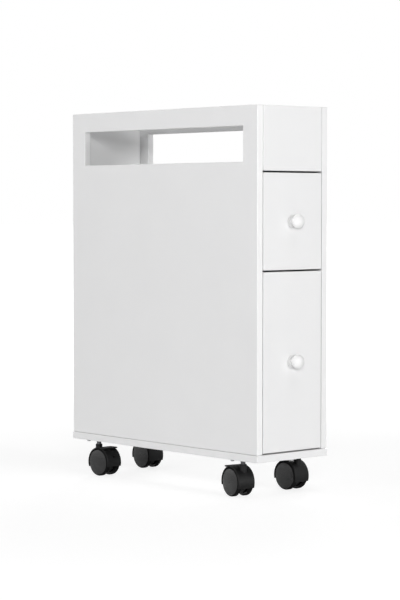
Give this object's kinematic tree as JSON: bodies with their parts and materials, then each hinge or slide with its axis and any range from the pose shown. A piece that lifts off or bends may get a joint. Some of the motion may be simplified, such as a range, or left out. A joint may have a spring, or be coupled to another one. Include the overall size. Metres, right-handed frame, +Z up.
{
  "type": "bathroom storage cart",
  "caption": "Slim rolling storage cart with an open-topped tray behind long side windows, drawers with round knobs below it, and swivelling twin-wheel casters.",
  "frame": {"origin": "on the floor, under the middle of the overall box, knobs included", "axes": "+Z up, the drawers open towards -Y, +X to the right when facing the drawers"},
  "size_m": [0.163, 0.508, 0.645],
  "materials": {
    "white_board": "satin white lacquer",
    "hardboard": "matt white foil",
    "runner_plastic": "moulded",
    "knob_white": "gloss white",
    "black_plastic": "satin moulded",
    "steel": "bright zinc plate",
    "zinc": "die cast",
    "beech": "raw"
  },
  "bodies": {
    "cabinet": {"left_side_panel": "white_board", "right_side_panel": "white_board", "back_panel": "white_board", "front_fascia": "white_board", "cubby_floor": "white_board", "base_plate": "white_board", "upper_left_runner": "runner_plastic", "upper_right_runner": "runner_plastic", "lower_left_runner": "runner_plastic", "lower_right_runner": "runner_plastic", "carcass_cam_locks": "zinc", "carcass_cam_bolts": "steel", "carcass_dowels": "beech", "runner_screws": "steel", "base_screws": "steel", "caster_sockets": "steel", "front_left_caster_stem": "steel", "front_right_caster_stem": "steel", "rear_left_caster_stem": "steel", "rear_right_caster_stem": "steel"},
    "upper_drawer": {"upper_drawer_front": "white_board", "upper_drawer_left_side": "white_board", "upper_drawer_right_side": "white_board", "upper_drawer_back": "white_board", "upper_drawer_bottom": "hardboard", "upper_drawer_knob": "knob_white", "upper_drawer_knob_screw": "steel", "upper_drawer_cam_locks": "zinc", "upper_drawer_cam_bolts": "steel", "upper_drawer_back_screws": "steel"},
    "lower_drawer": {"lower_drawer_front": "white_board", "lower_drawer_left_side": "white_board", "lower_drawer_right_side": "white_board", "lower_drawer_back": "white_board", "lower_drawer_bottom": "hardboard", "lower_drawer_knob": "knob_white", "lower_drawer_knob_screw": "steel", "lower_drawer_cam_locks": "zinc", "lower_drawer_cam_bolts": "steel", "lower_drawer_back_screws": "steel"},
    "front_left_caster": {"front_left_caster_hood": "black_plastic", "front_left_caster_axle": "steel"},
    "front_left_caster_left_wheel": {"front_left_caster_left_wheel": "black_plastic"},
    "front_left_caster_right_wheel": {"front_left_caster_right_wheel": "black_plastic"},
    "front_right_caster": {"front_right_caster_hood": "black_plastic", "front_right_caster_axle": "steel"},
    "front_right_caster_left_wheel": {"front_right_caster_left_wheel": "black_plastic"},
    "front_right_caster_right_wheel": {"front_right_caster_right_wheel": "black_plastic"},
    "rear_left_caster": {"rear_left_caster_hood": "black_plastic", "rear_left_caster_axle": "steel"},
    "rear_left_caster_left_wheel": {"rear_left_caster_left_wheel": "black_plastic"},
    "rear_left_caster_right_wheel": {"rear_left_caster_right_wheel": "black_plastic"},
    "rear_right_caster": {"rear_right_caster_hood": "black_plastic", "rear_right_caster_axle": "steel"},
    "rear_right_caster_left_wheel": {"rear_right_caster_left_wheel": "black_plastic"},
    "rear_right_caster_right_wheel": {"rear_right_caster_right_wheel": "black_plastic"}
  },
  "joints": [
    {"name": "upper_drawer_slide", "type": "slide", "parent": "cabinet", "child": "upper_drawer", "axis": [0, -1, 0], "range_m": [0, 0.33]},
    {"name": "lower_drawer_slide", "type": "slide", "parent": "cabinet", "child": "lower_drawer", "axis": [0, -1, 0], "range_m": [0, 0.33]},
    {"name": "front_left_swivel", "type": "hinge", "parent": "cabinet", "child": "front_left_caster", "pos_m": [-0.063, -0.179, 0.062], "axis": [0, 0, 1], "continuous": true},
    {"name": "front_left_left_wheel_spin", "type": "hinge", "parent": "front_left_caster", "child": "front_left_caster_left_wheel", "pos_m": [-0.06065, -0.16418, 0.024], "axis": [0.9877, -0.1564, 0], "continuous": true},
    {"name": "front_left_right_wheel_spin", "type": "hinge", "parent": "front_left_caster", "child": "front_left_caster_right_wheel", "pos_m": [-0.06065, -0.16418, 0.024], "axis": [0.9877, -0.1564, 0], "continuous": true},
    {"name": "front_right_swivel", "type": "hinge", "parent": "cabinet", "child": "front_right_caster", "pos_m": [0.063, -0.179, 0.062], "axis": [0, 0, 1], "continuous": true},
    {"name": "front_right_left_wheel_spin", "type": "hinge", "parent": "front_right_caster", "child": "front_right_caster_left_wheel", "pos_m": [0.063, -0.164, 0.024], "axis": [1, 0, 0], "continuous": true},
    {"name": "front_right_right_wheel_spin", "type": "hinge", "parent": "front_right_caster", "child": "front_right_caster_right_wheel", "pos_m": [0.063, -0.164, 0.024], "axis": [1, 0, 0], "continuous": true},
    {"name": "rear_left_swivel", "type": "hinge", "parent": "cabinet", "child": "rear_left_caster", "pos_m": [-0.063, 0.201, 0.062], "axis": [0, 0, 1], "continuous": true},
    {"name": "rear_left_left_wheel_spin", "type": "hinge", "parent": "rear_left_caster", "child": "rear_left_caster_left_wheel", "pos_m": [-0.06221, 0.18602, 0.024], "axis": [-0.9986, -0.0523, 0], "continuous": true},
    {"name": "rear_left_right_wheel_spin", "type": "hinge", "parent": "rear_left_caster", "child": "rear_left_caster_right_wheel", "pos_m": [-0.06221, 0.18602, 0.024], "axis": [-0.9986, -0.0523, 0], "continuous": true},
    {"name": "rear_right_swivel", "type": "hinge", "parent": "cabinet", "child": "rear_right_caster", "pos_m": [0.063, 0.201, 0.062], "axis": [0, 0, 1], "continuous": true},
    {"name": "rear_right_left_wheel_spin", "type": "hinge", "parent": "rear_right_caster", "child": "rear_right_caster_left_wheel", "pos_m": [0.06352, 0.21599, 0.024], "axis": [0.9994, -0.0349, 0], "continuous": true},
    {"name": "rear_right_right_wheel_spin", "type": "hinge", "parent": "rear_right_caster", "child": "rear_right_caster_right_wheel", "pos_m": [0.06352, 0.21599, 0.024], "axis": [0.9994, -0.0349, 0], "continuous": true}
  ]
}
